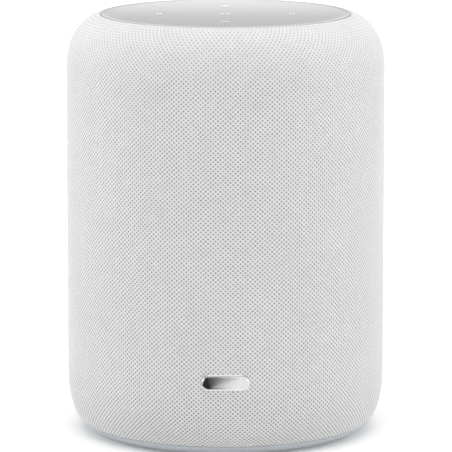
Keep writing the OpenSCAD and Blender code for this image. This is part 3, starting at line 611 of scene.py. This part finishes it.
# ---------------------------------------------------------------- CAD nodes that keep their shape
slots = {p["node"]: p["material_slot"] for p in frame["record"]["subparts"]}
EDGE_ROUND = {"connector_panel": 0.5, "mains_inlet": 0.35, "audio_jack": 0.25, "usb_port": 0.1,
              "setup_button": 0.3, "microphone_switch": 0.25, "inlet_pins": 0.3,
              "base_plate": 0.4}    # millimetres
# the touch symbols glow a little, which the white switch at the back doesn't
symbol_white = moulded("symbol_white", (0.86, 0.87, 0.88), (0.90, 0.905, 0.91), 1500.0, 0.01,
                       (0.5, 0.6), emission_color=(1, 1, 1, 1), emission_strength=0.3)
for node, obj in frame["nodes"].items():
    if slots[node] not in materials:
        continue
    obj.data.materials.clear()
    obj.data.materials.append(symbol_white if node == "touch_icons" else materials[slots[node]])
    if node in EDGE_ROUND:
        round_edges(obj, EDGE_ROUND[node] * MM)


# ---------------------------------------------------------------- floor, light and camera
def flat_rectangle(name, left, right, near, far, height):
    """A level rectangle."""
    corners = [(left, near), (right, near), (right, far), (left, far)]
    return mesh_object(name, [(x, y, height) for x, y in corners], [(0, 1, 2, 3)], smooth=False)


def make_floor():
    """A seamless pale floor, which glows a little far from the speaker."""
    floor = flat_rectangle("floor", -FLOOR_HALF, FLOOR_HALF, -FLOOR_HALF, FLOOR_HALF, 0)
    m, t, s = new_material("floor_pale", roughness=0.9, specular_ior_level=0.1,
                           emission_color=(1, 1, 1, 1))
    tone = blend_colour(t, noise(t, 3.0), (0.91, 0.91, 0.91), (0.94, 0.94, 0.94))
    t.links.new(tone, s.inputs["Base Color"])
    away = add(t, "VectorMath", {"operation": "LENGTH"}, i0=place(t)).outputs["Value"]
    t.links.new(spread(t, away, *FLOOR_GLOW, smooth=True), s.inputs["Emission Strength"])
    floor.data.materials.append(m)


def make_reflection_card():
    """A small card in front of the speaker, seen only in reflections.

    It gives the polished nameplate its fall from dark to light.
    """
    card = flat_rectangle("reflection_card", *CARD, MM)
    m = bpy.data.materials.new("card_gradient")
    m.use_nodes = True
    t = m.node_tree
    t.nodes.clear()
    where = add(t, "SeparateXYZ", Vector=place(t)).outputs
    reach = math_node(t, "SUBTRACT", math_node(t, "MULTIPLY", where[1], -2.0), BODY_R)
    turn = math_node(t, "DIVIDE", where[0], reach)
    share = spread(t, turn, *CARD_FALL, smooth=True)
    tone = blend_colour(t, share, (0.03, 0.03, 0.032), (0.96, 0.96, 0.96))
    glow = add(t, "Emission", Color=tone, Strength=1.0)
    add(t, "OutputMaterial", i0=glow.outputs[0])
    card.data.materials.append(m)
    card.visible_camera = card.visible_diffuse = False
    card.visible_shadow = card.visible_transmission = False


def soft_light(name, place_at, target, size, power, reflected):
    """A rectangular softbox that points at the target, and may be left out of reflections."""
    data = bpy.data.lights.new(name, "AREA")
    data.shape = "RECTANGLE"
    data.size, data.size_y = size
    data.energy = power
    light = bpy.data.objects.new(name, data)
    bpy.context.scene.collection.objects.link(light)
    light.location = place_at
    light.visible_camera = False
    light.visible_glossy = reflected
    light.rotation_mode = "QUATERNION"
    light.rotation_quaternion = (Vector(target) - Vector(place_at)).to_track_quat("-Z", "Y")


def make_camera():
    """The photograph's view: a long lens, a little above the speaker's middle."""
    data = bpy.data.cameras.new("camera")
    data.sensor_width = CAMERA_SENSOR
    data.lens = CAMERA_LENS
    data.shift_x = CAMERA_SHIFT
    data.clip_end = 100
    camera = bpy.data.objects.new("camera", data)
    bpy.context.scene.collection.objects.link(camera)
    camera.location = (0, -CAMERA_DISTANCE * math.cos(CAMERA_PITCH),
                       CAMERA_AIM_Z + CAMERA_DISTANCE * math.sin(CAMERA_PITCH))
    camera.rotation_euler = (math.pi / 2 - CAMERA_PITCH, 0, 0)
    bpy.context.scene.camera = camera


def make_world():
    """Even white light from all sides."""
    world = bpy.data.worlds.new("studio")
    world.use_nodes = True
    background = world.node_tree.nodes["Background"]
    background.inputs["Color"].default_value = (1, 1, 1, 1)
    background.inputs["Strength"].default_value = WORLD_STRENGTH
    bpy.context.scene.world = world


make_floor()
make_reflection_card()
make_world()
for settings in SOFTBOXES:
    soft_light(*settings)
make_camera()
bpy.context.scene.view_settings.view_transform = "Standard"
